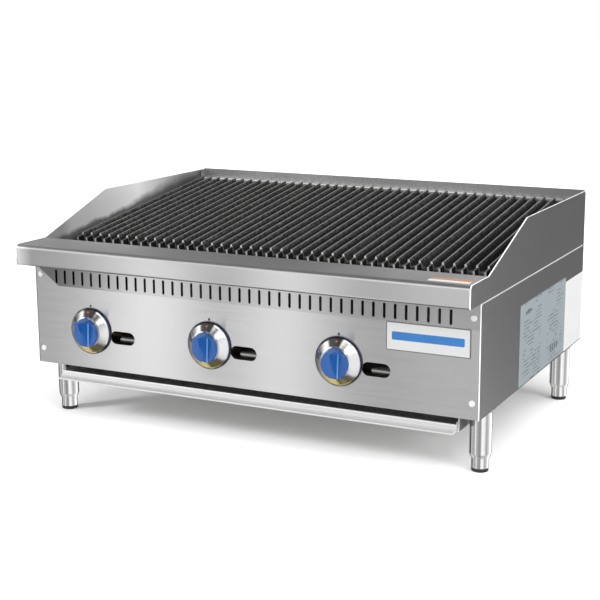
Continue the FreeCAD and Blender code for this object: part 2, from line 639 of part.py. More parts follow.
def tray_rail():
    """Right-hand channel that the drip tray slides in."""
    outer = TRAY_HALF + 2.0
    front = 24.0
    floor = TRAY_FLOOR - 0.3
    web = block(outer - SHEET, outer, front, RAIL_REAR, floor - SHEET, PANEL_BOTTOM)
    shelf = block(outer - 18, outer - 1, front, RAIL_REAR, floor - SHEET, floor)
    flange = block(outer - 18, outer - 1, front, RAIL_REAR, PANEL_BOTTOM - SHEET, PANEL_BOTTOM)
    return fuse([web, shelf, flange])


def drip_tray():
    """Full-width pan: upright front with a rolled pull lip, low side and rear walls."""
    gauge = 1.2
    side = TRAY_HALF - 0.6
    front = side_plate([(14.2, TRAY_TOP), (16.0, TRAY_TOP), (16.0, TRAY_FLOOR + gauge), (22.0, TRAY_FLOOR + gauge),
                        (22.0, TRAY_FLOOR), (13.0, TRAY_FLOOR), (0.0, TRAY_FLOOR - 0.9), (-2.6, TRAY_FLOOR - 0.6),
                        (-3.1, TRAY_FLOOR + 0.8), (-2.2, TRAY_FLOOR + 2.0), (5.5, TRAY_FLOOR + 3.6),
                        (8.5, TRAY_FLOOR + 5.5)], -TRAY_HALF, TRAY_HALF)
    hem = side_plate([(12.6, TRAY_TOP - 2.2), (16.0, TRAY_TOP - 2.2), (16.0, TRAY_TOP), (13.2, TRAY_TOP)],
                     -TRAY_HALF, TRAY_HALF)
    floor = block(-side, side, 20, TRAY_REAR, TRAY_FLOOR, TRAY_FLOOR + gauge)
    walls = [block(s * side - (gauge if s > 0 else 0), s * side + (0 if s > 0 else gauge), 20, TRAY_REAR,
                   TRAY_FLOOR, TRAY_FLOOR + 16) for s in (-1, 1)]
    corners = [block(s * side - (gauge if s > 0 else 0), s * side + (0 if s > 0 else gauge), 15, 21,
                     TRAY_FLOOR, TRAY_TOP - 1) for s in (-1, 1)]
    rear = block(-side, side, TRAY_REAR - gauge, TRAY_REAR, TRAY_FLOOR, TRAY_FLOOR + 16)
    return fuse([front, hem, floor, rear] + walls + corners)


def panel_screws():
    """Four dome screws through the front panel."""
    screws = []
    for x in SCREW_X:
        for z in SCREW_HEIGHTS:
            head = rod(SCREW_HEAD, (x, -2.4, z), (x, 0, z))
            head = head.makeFillet(1.8, edges_where(head, lambda e: e.BoundBox.YMax < at(-2.3)))
            shank = rod(2.5, (x, -0.5, z), (x, 9, z))
            screws.append(fuse([head, shank]))
    return screws


def name_plate():
    """Blank trim plate at the right of the front panel."""
    plate = block(285.1, 438.5, -1.0, -0.05, 216.1, 266.2)
    return plate.makeFillet(2.0, edges_where(plate, lambda e: along(e, V(0, 1, 0))))


def screwed_panel(panel):
    """Front panel with clearance holes for its screws."""
    holes = [rod(2.8, (x, -5, z), (x, 5, z)) for x in SCREW_X for z in SCREW_HEIGHTS]
    return panel.cut(Part.makeCompound(holes))


def build():
    parts = {
        "front_panel": screwed_panel(front_panel()),
        "top_ledge": top_ledge(),
        "right_guard": right_guard(),
        "left_guard": mirror(right_guard()),
        "right_panel": right_panel(),
        "left_panel": mirror(right_panel()),
        "back_splash": back_splash(),
        "rear_panel": rear_panel(),
        "base_rail_front": base_rail(22, 22),
        "base_rail_rear": base_rail(582, 609),
        "firebox_front": firebox_front(),
        "firebox_rear": firebox_rear(),
        "firebox_right": firebox_side(),
        "firebox_left": mirror(firebox_side()),
        "grate_rail_front": grate_rail(TIE_STARTS[0], 138, 163, 138),
        "grate_rail_rear": grate_rail(TIE_STARTS[-1], 594, 611, 608),
        "grease_trough": grease_trough(),
        "gas_manifold": gas_manifold(),
        "gas_inlet_pipe": gas_inlet_pipe(),
        "pilot_burners": Part.makeCompound([pilot_burner(x) for x in section_centres(PORT_CENTRE)]),
        "tray_rail_right": tray_rail(),
        "tray_rail_left": mirror(tray_rail()),
        "drip_tray": drip_tray(),
        "panel_screws": Part.makeCompound(panel_screws()),
        "name_plate": name_plate(),
    }
    for number in range(1, GRATE_COUNT + 1):
        parts["grate_%d" % number] = grate(number)
    for number, x in enumerate(section_centres(KNOB_CENTRE), start=1):
        parts["valve_%d" % number] = valve(x)
        parts["valve_stem_%d" % number] = valve_stem(x)
        parts["knob_skirt_%d" % number] = knob_skirt(x)
        parts["knob_%d" % number] = knob(x)
        parts["burner_%d" % number] = burner(x + BURNER_LEG)
        parts["radiant_%d" % number] = radiant(x + BURNER_LEG)
    legs = []
    for end, depth in zip(("front", "rear"), LEG_DEPTHS):
        for side, x in (("left", -LEG_X), ("right", LEG_X)):
            legs.append(leg(x, depth))
            parts["foot_%s_%s" % (end, side)] = foot(x, depth)
            parts["foot_pad_%s_%s" % (end, side)] = foot_pad(x, depth)
    parts["legs"] = Part.makeCompound(legs)
    return parts


def main():
    os.makedirs("parts", exist_ok=True)
    for name, shape in build().items():
        shape.exportStep(os.path.join("parts", name + ".step"))
        box = shape.BoundBox
        print("%-22s solids %d valid %s  x %.1f..%.1f  y %.1f..%.1f  z %.1f..%.1f" % (
            name, len(shape.Solids), shape.isValid(), box.XMin, box.XMax, box.YMin, box.YMax, box.ZMin, box.ZMax))


main()
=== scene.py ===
"""Looks of the countertop gas charbroiler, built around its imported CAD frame."""

import math

import bmesh
import bpy
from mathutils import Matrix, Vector


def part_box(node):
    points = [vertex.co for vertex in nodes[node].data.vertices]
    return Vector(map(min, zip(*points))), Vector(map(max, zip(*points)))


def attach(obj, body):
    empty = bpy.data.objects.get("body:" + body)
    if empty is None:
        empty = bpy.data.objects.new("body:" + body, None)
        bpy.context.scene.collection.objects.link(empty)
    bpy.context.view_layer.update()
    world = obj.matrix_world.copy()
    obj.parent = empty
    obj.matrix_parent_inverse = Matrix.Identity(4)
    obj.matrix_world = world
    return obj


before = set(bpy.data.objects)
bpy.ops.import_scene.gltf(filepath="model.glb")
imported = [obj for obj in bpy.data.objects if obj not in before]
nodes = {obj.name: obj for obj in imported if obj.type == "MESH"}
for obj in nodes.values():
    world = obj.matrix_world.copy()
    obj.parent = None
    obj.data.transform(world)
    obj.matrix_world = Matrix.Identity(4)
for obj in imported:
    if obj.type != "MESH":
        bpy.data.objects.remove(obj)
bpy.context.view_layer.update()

# ---- camera ----
CAMERA_PLACE = (1.1504, -2.3249, 0.7812)
CAMERA_TILT = math.radians(77.98)
CAMERA_TURN = math.radians(25.49)
LENS = 79.3
SHIFT = (-0.0567, -0.0103)

# ---- places on the object, in metres ----
PANEL_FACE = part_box("front_panel")[0].y
SIDE_FACE = 0.456                  # outer face of the side plates
LEDGE_TOP = 0.3515
LIFT = 0.00002                     # stickers and dots start this far off their surface
STRIP_LOW = 0.266                  # lower edge of the painted shadow strip below the rail on the front panel
STRIP_SLANT = -0.0393              # its slanted left end, as x + STRIP_LEAN * z
STRIP_LEAN = 1.364
RIDGE_FRONT = PANEL_FACE + 0.137   # front ends of the grates' ridges
RIDGE_TOP = 0.348                  # their height there
RIDGE_SLOPE = math.radians(7.4)
FINGER_ROOT = RIDGE_FRONT - 0.014  # the fingers' tips lie ahead of this

# Painted reflections and shade along the inside of the left guard, by depth behind the front panel's face, with
# painted shade at the rear end
GUARD_TONES = (
    (0.0, 0.28), (0.09, 0.32), (0.12, 0.5), (0.18, 0.56), (0.24, 0.67), (0.3, 0.8), (0.36, 0.95),
    (0.42, 0.73), (0.48, 0.5), (0.54, 0.36), (0.6, 0.45), (0.618, 0.3), (0.624, 0.04),
)
GRAIN_STRETCH = {"X": (0.02, 1, 1), "Y": (1, 0.02, 1), "Z": (1, 1, 0.02)}


class Tree:
    """Node tree of a material or the world, with short calls to add and link nodes."""

    def __init__(self, owner):
        owner.use_nodes = True
        self.owner = owner
        self.tree = owner.node_tree
        self.shader = self.tree.nodes.get("Principled BSDF")

    def add(self, kind, **settings):
        """New shader node with its settings."""
        node = self.tree.nodes.new("ShaderNode" + kind)
        for key, value in settings.items():
            setattr(node, key, value)
        return node

    def link(self, out, socket):
        self.tree.links.new(out, socket)

    def fixed(self, **values):
        """Uniform values set straight on the shader's own sockets."""
        for key, value in values.items():
            self.shader.inputs[key.replace("_", " ")].default_value = value

    def drive(self, **sources):
        """Links each source to the shader's socket of that name."""
        for key, source in sources.items():
            self.link(source, self.shader.inputs[key.replace("_", " ")])

    def place(self, scale=(1, 1, 1)):
        """Object coordinates in metres, stretched by scale."""
        coords = self.add("TexCoord")
        mapping = self.add("Mapping")
        mapping.inputs["Scale"].default_value = scale
        self.link(coords.outputs["Object"], mapping.inputs["Vector"])
        return mapping.outputs["Vector"]

    def axis(self, name):
        """One object coordinate, in metres."""
        split = self.add("SeparateXYZ")
        self.link(self.place(), split.inputs["Vector"])
        return split.outputs[name]

    def normal(self, kind="Normal"):
        """The X, Y and Z outputs of the surface's normal."""
        geometry = self.add("NewGeometry")
        split = self.add("SeparateXYZ")
        self.link(geometry.outputs[kind], split.inputs["Vector"])
        return split.outputs

    def noise(self, scale, stretch=(1, 1, 1), detail=3.0, rough=0.5):
        node = self.add("TexNoise")
        node.inputs["Scale"].default_value = scale
        node.inputs["Detail"].default_value = detail
        node.inputs["Roughness"].default_value = rough
        self.link(self.place(stretch), node.inputs["Vector"])
        return node.outputs["Fac"]

    def span(self, value, low, high, start=0.0, end=1.0):
        """Maps value from start..end to low..high, clamped."""
        node = self.add("MapRange")
        node.inputs["From Min"].default_value = start
        node.inputs["From Max"].default_value = end
        node.inputs["To Min"].default_value = low
        node.inputs["To Max"].default_value = high
        self.link(value, node.inputs["Value"])
        return node.outputs["Result"]

    def window(self, value, start, end, soft):
        """1 between start and end, falling to 0 over soft around each."""
        rise = self.span(value, 0.0, 1.0, start - soft / 2, start + soft / 2)
        return self.math("MULTIPLY", rise, self.span(value, 1.0, 0.0, end - soft / 2, end + soft / 2))

    def math(self, operation, a, b=0.0):
        """Math node of one or two numbers or sockets."""
        node = self.add("Math", operation=operation)
        for socket, value in zip(node.inputs, (a, b)):
            if isinstance(value, (int, float)):
                socket.default_value = value
            else:
                self.link(value, socket)
        return node.outputs["Value"]

    def product(self, *values):
        result = values[0]
        for value in values[1:]:
            result = self.math("MULTIPLY", result, value)
        return result

    def mix(self, factor, a, b):
        """Colour mix; a and b are colours or sockets."""
        node = self.add("Mix", data_type="RGBA")
        self.link(factor, node.inputs["Factor"])
        for socket, value in ((node.inputs[6], a), (node.inputs[7], b)):
            if isinstance(value, tuple):
                socket.default_value = (*value, 1.0)
            else:
                self.link(value, socket)
        return node.outputs[2]

    def mottle(self, value, low, high):
        """Colour from low to high over the middle of a noise."""
        return self.mix(self.span(value, 0, 1, 0.3, 0.7), low, high)

    def ramp(self, value, start, end, stops):
        """Grey ramp over value from start to end; stops are (place, level up to 1)."""
        node = self.add("ValToRGB")
        elements = node.color_ramp.elements
        elements.remove(elements[1])
        for number, (place, level) in enumerate(stops):
            share = (place - start) / (end - start)
            stop = elements.new(share) if number else elements[0]
            stop.position = share
            stop.color = (level, level, level, 1.0)
        self.link(self.span(value, 0.0, 1.0, start, end), node.inputs["Fac"])
        return node.outputs["Color"]

    def bump(self, height, distance, strength=0.5, normal=None):
        node = self.add("Bump")
        node.inputs["Distance"].default_value = distance
        node.inputs["Strength"].default_value = strength
        self.link(height, node.inputs["Height"])
        if normal is not None:
            self.link(normal, node.inputs["Normal"])
        return node.outputs["Normal"]

    def above_ridges(self):
        """Height over the sloping plane of the grates' ridges."""
        rise = self.product(self.math("SUBTRACT", self.axis("Y"), RIDGE_FRONT), math.tan(RIDGE_SLOPE))
        return self.math("SUBTRACT", self.axis("Z"), self.math("ADD", rise, RIDGE_TOP))

    def from_centre(self, name):
        """X and Z distance from the centre of a CAD node's box, and that box's half sizes."""
        low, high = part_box(name)
        centre, half = (low + high) / 2, (high - low) / 2
        across = self.math("SUBTRACT", self.axis("X"), centre.x)
        above = self.math("SUBTRACT", self.axis("Z"), centre.z)
        return across, above, half


# ---- brushed sheet steel, and what is particular to each sheet ----

def side_plate_detail(t, normal, looks):
    """Inside, the side plates are duller, with painted reflections along the left one, painted shade inside the
    right one, and painted shade just above the grates on the left. Their edges are painted bright as a
    highlight."""
    x = t.axis("X")
    inside = t.span(t.math("ABSOLUTE", x), 1.0, 0.0, SIDE_FACE - 0.0015, SIDE_FACE - 0.0005)
    looks["finish"] = t.math("ADD", looks["finish"], t.product(inside, 0.18))
    depth = t.math("SUBTRACT", t.axis("Y"), PANEL_FACE)
    left = t.product(inside, t.span(x, 1.0, 0.0, -0.01, 0.01))
    right = t.product(inside, t.span(x, 0.0, 1.0, -0.01, 0.01))
    # Painted reflections along the inside of the left guard; the inside of the right one is painted darker as
    # shade.
    looks["colour"] = t.mix(left, looks["colour"], t.ramp(depth, 0.0, 0.64, GUARD_TONES))
    looks["colour"] = t.mix(right, looks["colour"], (0.26, 0.26, 0.26))
    # Painted highlight: the plates' edges are painted near white.
    sheet_edge_highlight = t.span(t.math("ABSOLUTE", normal["X"]), 1.0, 0.0, 0.75, 0.92)
    looks["colour"] = t.mix(sheet_edge_highlight, looks["colour"], (0.93, 0.93, 0.93))
    # Painted shade in the corner just above the grates on the left guard, reaching higher towards the rear.
    shade_edge_noise = t.product(t.math("SUBTRACT", t.noise(28.0, detail=4.0, rough=0.6), 0.5), 0.02)
    reach = t.span(depth, 0.009, 0.034, 0.28, 0.58)
    corner_shade = t.math("DIVIDE", t.math("ADD", t.above_ridges(), shade_edge_noise), reach)
    corner_shade = t.product(left, t.span(corner_shade, 1.0, 0.0, 0.1, 1.0))
    looks["colour"] = t.mix(t.product(corner_shade, 0.85), looks["colour"], (0.06, 0.06, 0.06))
    looks["metallic"] = t.math("SUBTRACT", t.span(sheet_edge_highlight, 0.92, 0.35), t.product(inside, 0.3))


def front_panel_detail(t, normal, looks):
    """Painted shadow of the rail's nose on the panel below it, slanting off at its left end and fading to the
    right.
    """
    x, height = t.axis("X"), t.axis("Z")
    slant = t.math("ADD", x, t.product(height, STRIP_LEAN))
    # Painted shadow of the rail's nose on the panel below it
    nose_shadow = t.product(
        t.span(height, 0.0, 1.0, STRIP_LOW - 0.0004, STRIP_LOW + 0.0004),
        t.span(slant, 0.0, 1.0, STRIP_SLANT - 0.001, STRIP_SLANT + 0.001),
        t.span(x, 1.0, 0.22, -0.4, -0.24),
    )
    looks["colour"] = t.mix(nose_shadow, looks["colour"], (0.2, 0.2, 0.202))


def rail_detail(t, normal, looks):
    """Painted light and shade on the rail: painted shade on the underside, a nose painted lighter to the right
    with a painted highlight at its left end, and a ledge with painted reflection patches that is painted
    lighter to the left."""
    x = t.axis("X")
    # Painted shade on the rail's underside
    underside_shade = t.span(normal["Z"], 1.0, 0.0, -0.5, -0.15)
    looks["colour"] = t.mix(underside_shade, looks["colour"], (0.14, 0.14, 0.142))
    # The nose's front face is painted darker to the left and lighter to the right, as painted light and shade
    nose = t.span(normal["Y"], 1.0, 0.0, -0.95, -0.8)
    tone = t.mix(t.span(x, 0.0, 1.0, 0.02, 0.36), (0.45, 0.45, 0.455), (0.63, 0.63, 0.63))
    looks["colour"] = t.mix(t.product(nose, 0.85), looks["colour"], tone)
    # Painted light on the ledge, towards its left
    ledge = t.product(t.span(normal["Z"], 0.0, 0.9, 0.6, 0.9), t.span(x, 1.0, 0.0, -0.42, -0.08))
    looks["colour"] = t.mix(ledge, looks["colour"], (0.74, 0.74, 0.745))
    # Painted reflection patches on the ledge
    reflection_patches = t.span(t.noise(11.0, (1, 0.6, 1), 2.0), 0.0, 0.6, 0.38, 0.7)
    reflection_patches = t.product(reflection_patches, t.span(normal["Z"], 0.0, 1.0, 0.6, 0.9))
    looks["colour"] = t.mix(reflection_patches, looks["colour"], (0.7, 0.7, 0.7))
    # Painted highlight at the nose's left end
    end = t.product(t.span(x, 1.0, 0.0, -0.453, -0.42), t.span(normal["Y"], 1.0, 0.0, -0.9, -0.4))
    looks["colour"] = t.mix(end, looks["colour"], (0.85, 0.85, 0.85))
    looks["metallic"] = t.span(end, 0.92, 0.8)


def splash_detail(t, normal, looks):
    """Tones of the splash: painted light on the flat deck behind the grates, painted shade towards the right
    end and on the rear face.
    """
    # Painted light on the up-facing deck
    painted_light_deck = t.span(normal["Z"], 0.0, 1.0, 0.8, 0.95)
    looks["colour"] = t.mix(painted_light_deck, looks["colour"], (0.88, 0.88, 0.88))
    looks["metallic"] = t.span(painted_light_deck, 0.92, 0.3)
    # Painted shade towards the right end
    looks["colour"] = t.mix(t.span(t.axis("X"), 0.0, 0.7, 0.2, 0.4), looks["colour"], (0.3, 0.3, 0.302))
    # Painted shade on the rear face
    rear = t.span(normal["Y"], 0.0, 1.0, 0.3, 0.7)
    looks["colour"] = t.mix(rear, looks["colour"], (0.36, 0.36, 0.362))


def brushed(name, grain, low, high, rough, metallic=0.92, uneven=0.035, detail=None):
    """Sheet steel brushed along one axis, with fine streaks and faint handling marks."""
    t = Tree(bpy.data.materials.new(name))
    fine = t.noise(900.0, GRAIN_STRETCH[grain], 4.0, 0.7)
    broad = t.noise(120.0, GRAIN_STRETCH[grain], 3.0, 0.6)
    smudge = t.noise(5.0, detail=4.0, rough=0.55)
    streaks = t.math("ADD", t.product(fine, 0.65), t.product(broad, 0.35))
    tone = t.math("ADD", t.product(streaks, 0.75), t.product(smudge, 0.25))
    looks = {
        "colour": t.mottle(tone, low, high),
        "finish": t.span(tone, rough - uneven, rough + uneven, 0.3, 0.7),
    }
    t.fixed(Metallic=metallic, Anisotropic=1.0)
    if detail:
        detail(t, t.normal(), looks)
    t.drive(Base_Color=looks["colour"], Roughness=looks["finish"], Normal=t.bump(fine, 0.00001))
    if "metallic" in looks:
        t.drive(Metallic=looks["metallic"])
    along = t.add("CombineXYZ")
    for axis in "XYZ":
        along.inputs[axis].default_value = 1.0 if axis == grain else 0.02
    across = t.add("VectorMath", operation="CROSS_PRODUCT")
    t.link(t.add("NewGeometry").outputs["Normal"], across.inputs[0])
    t.link(along.outputs["Vector"], across.inputs[1])
    t.drive(Tangent=across.outputs["Vector"])
    return t.owner


# ---- cast iron, plain metals, plastics ----

def cast_iron():
    """Seasoned cast iron: sandy and near black, with painted shade down in the grates' valleys and painted
    light on front faces, lighter along the ridges' worn tops, with painted highlights at their front ends and
    the fingers' tips."""
    t = Tree(bpy.data.materials.new("cast_iron"))
    sand = t.noise(1400.0, detail=4.0, rough=0.65)
    crust = t.noise(170.0, detail=5.0, rough=0.75)
    cloud = t.noise(14.0)
    normal = t.normal("True Normal")
    below = t.product(t.above_ridges(), -1.0)
    front = t.span(normal["Y"], 0, 1, -0.9, -0.97)
    dark = t.mix(t.span(crust, 0, 1, 0.42, 0.62), (0.004, 0.004, 0.004), (0.12, 0.118, 0.115))
    dark = t.mix(t.span(cloud, 0, 0.5, 0.35, 0.7), dark, (0.05, 0.049, 0.047))
    # Painted shade down in the valleys below the ridges, weaker on front faces
    valley_shade = t.product(t.span(below, 0, 0.97, 0.001, 0.006), t.span(front, 1.0, 0.25))
    dark = t.mix(valley_shade, dark, (0.002, 0.002, 0.002))
    # Painted light: front faces are painted lighter
    dark = t.mix(t.product(front, 0.7), dark, (0.17, 0.168, 0.165))
    top = t.product(t.span(normal["Z"], 0, 1, 0.93, 0.985), t.span(below, 1, 0, 0.001, 0.008))
    worn = t.product(top, t.span(crust, 0.25, 1.0, 0.35, 0.55))
    tip = t.span(t.axis("Y"), 1.0, 0.0, FINGER_ROOT - 0.002, FINGER_ROOT + 0.002)
    beneath = t.math("SUBTRACT", below, t.product(tip, 0.0085))
    # Painted highlights on the ridges' front ends and the fingers' tips
    ends = t.product(front, t.span(beneath, 1, 0, 0.0025, 0.006), t.span(tip, 1.0, 0.5))
    colour = t.mix(ends, t.mix(worn, dark, (0.2, 0.197, 0.193)), (0.6, 0.59, 0.58))
    pitted = t.span(crust, 0.85, 0.46, 0.42, 0.6)
    t.fixed(Specular_IOR_Level=0.3)
    t.drive(
        Base_Color=colour,
        Roughness=t.math("SUBTRACT", pitted, t.product(worn, 0.12)),
        Metallic=t.product(worn, 0.5),
        Normal=t.bump(sand, 0.0002, 0.6, t.bump(crust, 0.001, 0.7)),
    )
    return t.owner


def speckled(name, low, high, rough, metal, scale=600.0, bump=0.00005):
    """Plain material with fine mottling in colour, roughness and surface."""
    t = Tree(bpy.data.materials.new(name))
    fine = t.noise(scale, detail=4.0, rough=0.6)
    cloud = t.noise(18.0)
    tone = t.math("ADD", t.product(fine, 0.5), t.product(cloud, 0.5))
    t.fixed(Metallic=metal)
    t.drive(
        Base_Color=t.mottle(tone, low, high),
        Roughness=t.span(tone, rough - 0.05, rough + 0.05, 0.3, 0.7),
        Normal=t.bump(fine, bump),
    )
    return t.owner


def plate_silver():
    """Satin face of the trim plate inside a thin painted shadow outline."""
    t = Tree(bpy.data.materials.new("plate_silver"))
    across, above, half = t.from_centre("name_plate")
    fine = t.noise(600.0, detail=4.0, rough=0.6)
    face = t.mottle(fine, (0.61, 0.62, 0.615), (0.67, 0.68, 0.675))
    # Painted shadow: a thin dark line round the plate's edge
    sides = t.span(t.math("ABSOLUTE", across), 0.0, 1.0, half.x - 0.0022, half.x - 0.0014)
    ends = t.span(t.math("ABSOLUTE", above), 0.0, 1.0, half.z - 0.002, half.z - 0.0012)
    t.fixed(Metallic=0.5)
    t.drive(
        Base_Color=t.mix(t.math("MAXIMUM", sides, ends), face, (0.14, 0.14, 0.14)),
        Roughness=t.span(fine, 0.3, 0.4, 0.3, 0.7),
        Normal=t.bump(fine, 0.00005),
    )
    return t.owner


def skirt_chrome(number):
    """Bright turned face of a knob skirt, with painted shade to the left and a painted golden reflection at the
    bottom, in a dark bluish rim.
    """
    t = Tree(bpy.data.materials.new(f"skirt_chrome_{number}"))
    across, above, _ = t.from_centre(f"knob_skirt_{number}")
    squares = t.math("ADD", t.product(across, across), t.product(above, above))
    distance = t.math("POWER", squares, 0.5)
    fine = t.noise(900.0, rough=0.6)
    rings = t.math("SINE", t.product(distance, 2 * math.pi / 0.0009))
    turned_and_painted_light = t.mottle(fine, (0.55, 0.55, 0.56), (0.66, 0.66, 0.66))
    # Painted shade to the left
    turned_and_painted_light = t.mix(t.span(across, 0.8, 0.0, -0.04, -0.024), turned_and_painted_light, (0.12, 0.12, 0.125))
    # Painted golden reflection at the bottom
    turned_and_painted_light = t.mix(t.span(above, 0.9, 0.0, -0.031, -0.021), turned_and_painted_light, (0.72, 0.6, 0.27))
    t.fixed(Metallic=1.0)
    t.drive(
        Base_Color=t.mix(t.span(distance, 0, 1, 0.0425, 0.0435), turned_and_painted_light, (0.05, 0.065, 0.11)),
        Roughness=t.span(fine, 0.07, 0.13, 0.3, 0.7),
        Normal=t.bump(rings, 0.000004),
    )
    return t.owner


def knob_plastic(number):
    """Glossy blue plastic, with painted highlights along the grip's upper left edge and in a line at the
    blade's root.
    """
    t = Tree(bpy.data.materials.new(f"knob_plastic_{number}"))
    across, above, _ = t.from_centre(f"knob_skirt_{number}")
    fine = t.noise(600.0, detail=4.0, rough=0.6)
    colour = t.mottle(fine, (0.004, 0.062, 0.24), (0.008, 0.082, 0.3))
    # Painted highlight line at the blade's root
    root = t.math("SUBTRACT", across, t.math("ADD", t.product(above, 0.037), 0.0086))
    root_highlight = t.product(
        t.span(t.math("ABSOLUTE", root), 1.0, 0.0, 0.0005, 0.0013),
        t.span(t.axis("Y"), 0.0, 1.0, PANEL_FACE - 0.0255, PANEL_FACE - 0.0245),
        t.span(above, 1.0, 0.0, 0.017, 0.021),
    )
    # Painted highlight along the grip's upper left edge
    grip_edge_highlight = t.product(
        t.span(t.normal()["Z"], 0.0, 1.0, 0.75, 0.9),
        t.span(above, 0.0, 1.0, 0.018, 0.022),
        t.span(across, 0.6, 0.1, -0.006, 0.0),
    )
    colour = t.mix(t.product(root_highlight, 0.6), colour, (0.2, 0.42, 0.68))
    t.fixed(Metallic=0.0, Coat_Weight=0.4)
    t.drive(
        Base_Color=t.mix(grip_edge_highlight, colour, (0.35, 0.48, 0.65)),
        Roughness=t.span(fine, 0.16, 0.24, 0.3, 0.7),
        Normal=t.bump(fine, 0.00003),
    )
    return t.owner


def assign(material, *names):
    """Gives each CAD node whose name starts with one of names this material."""
    for name, obj in nodes.items():
        if name.startswith(names):
            obj.data.materials.clear()
            obj.data.materials.append(material)


def dress_sheets():
    """Brushed steel of the casing, the tray and the firebox."""
    assign(brushed("stainless_x", "X", (0.33, 0.33, 0.335), (0.4, 0.4, 0.4), 0.19), "rear_panel")
    assign(brushed("rail_steel", "X", (0.48, 0.48, 0.485), (0.56, 0.56, 0.56), 0.19, detail=rail_detail),
           "top_ledge")
    assign(brushed("front_panel_steel", "X", (0.5, 0.5, 0.505), (0.58, 0.58, 0.58), 0.19,
                   detail=front_panel_detail), "front_panel")
    assign(brushed("splash_steel", "X", (0.4, 0.4, 0.405), (0.45, 0.45, 0.45), 0.2, uneven=0.01,
                   detail=splash_detail), "back_splash")
    assign(brushed("stainless_y", "Y", (0.5, 0.5, 0.505), (0.55, 0.55, 0.55), 0.24, uneven=0.008,
                   detail=side_plate_detail),
           "right_guard", "left_guard", "right_panel", "left_panel", "tray_rail")
    assign(brushed("tray_steel", "X", (0.69, 0.69, 0.69), (0.77, 0.77, 0.77), 0.3, metallic=0.55), "drip_tray")
    assign(brushed("liner_steel", "X", (0.2, 0.19, 0.18), (0.34, 0.33, 0.31), 0.42),
           "firebox", "grate_rail", "grease_trough")
    # Painted shade: the base rail is painted near black for the gap under the front panel
    assign(brushed("base_steel_painted_shade", "X", (0.07, 0.07, 0.07), (0.11, 0.11, 0.11), 0.45), "base_rail")


def dress_parts():
    """Legs, castings, gas train, controls and small parts."""
    polished = speckled("leg_steel", (0.66, 0.66, 0.665), (0.78, 0.78, 0.78), 0.13, 1.0, 300.0, 0.00001)
    assign(polished, "legs", "foot_front", "foot_rear")
    assign(cast_iron(), "radiant", *(f"grate_{number}" for number in range(1, 7)))
    assign(speckled("tube_steel", (0.45, 0.45, 0.45), (0.6, 0.6, 0.6), 0.35, 1.0), "burner", "gas_manifold")
    assign(speckled("pilot_steel", (0.22, 0.22, 0.215), (0.4, 0.4, 0.39), 0.3, 0.8), "pilot_burners")
    assign(speckled("black_pipe", (0.02, 0.02, 0.02), (0.05, 0.05, 0.05), 0.5, 0.3), "gas_inlet_pipe")
    assign(speckled("brass", (0.55, 0.4, 0.16), (0.75, 0.56, 0.27), 0.3, 1.0), "valve")
    assign(speckled("bright_steel", (0.7, 0.7, 0.7), (0.8, 0.8, 0.8), 0.3, 0.5), "panel_screws")
    assign(speckled("rubber", (0.012, 0.012, 0.012), (0.03, 0.03, 0.03), 0.7, 0.0), "foot_pad")
    assign(plate_silver(), "name_plate")
    for number in (1, 2, 3):
        assign(skirt_chrome(number), f"knob_skirt_{number}")
        assign(knob_plastic(number), f"knob_{number}")


# ---- stickers, dots and marks ----

def own_object(name, build, material, body):
    """New piece from a bmesh that build fills, riding on one body."""
    shape = bmesh.new()
    build(shape)
    bmesh.ops.recalc_face_normals(shape, faces=shape.faces)
    mesh = bpy.data.meshes.new(name)
    shape.to_mesh(mesh)
    shape.free()
    mesh.materials.append(material)
    piece = bpy.data.objects.new(name, mesh)
    bpy.context.scene.collection.objects.link(piece)
    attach(piece, body)


def rounded_outline(width, height, radius, steps=4):
    """Corner points of a rounded rectangle round the origin, anticlockwise."""
    points = []
    for number, (sx, sy) in enumerate(((1, 1), (-1, 1), (-1, -1), (1, -1))):
        for step in range(steps + 1):
            turn = math.pi / 2 * (number + step / steps)
            points.append((sx * (width / 2 - radius) + radius * math.cos(turn),
                           sy * (height / 2 - radius) + radius * math.sin(turn)))
    return points


def film(centre, right, up, size, radius, thick=0.0002):
    """Thin sticker with rounded corners and softened edges, lying on the plane right x up."""
    centre, right, up = Vector(centre), Vector(right), Vector(up)
    width, height = size
    out = right.cross(up)

    def build(shape):
        rings = []
        for inset, rise in ((0.0, 0.0), (0.0, thick * 0.6), (thick, thick)):
            outline = rounded_outline(width - 2 * inset, height - 2 * inset, max(radius - inset, thick))
            rings.append([shape.verts.new(centre + right * x + up * y + out * rise) for x, y in outline])
        count = len(rings[0])
        for low, high in zip(rings, rings[1:]):
            for i in range(count):
                j = (i + 1) % count
                shape.faces.new((low[i], low[j], high[j], high[i]))
        shape.faces.new(rings[-1])
        shape.faces.new(list(reversed(rings[0])))

    return build


def dome(centre, out, radius, height, rings=4, sides=24):
    """Low round dome standing on a surface, out being the surface's normal."""
    centre, out = Vector(centre), Vector(out).normalized()
    across = out.orthogonal().normalized()
    beside = out.cross(across)
    turns = [2 * math.pi * k / sides for k in range(sides)]

    def build(shape):
        circles = []
        for ring in range(rings):
            angle = math.pi / 2 * ring / rings
            middle = centre + out * (height * math.sin(angle))
            reach = radius * math.cos(angle)
            spokes = [across * math.cos(turn) + beside * math.sin(turn) for turn in turns]
            circles.append([shape.verts.new(middle + reach * spoke) for spoke in spokes])
        for low, high in zip(circles, circles[1:]):
            for k in range(sides):
                shape.faces.new((low[k], low[k - 1], high[k - 1], high[k]))
        top = shape.verts.new(centre + out * height)
        for k in range(sides):
            shape.faces.new((circles[-1][k], circles[-1][k - 1], top))
        shape.faces.new(circles[0])

    return build


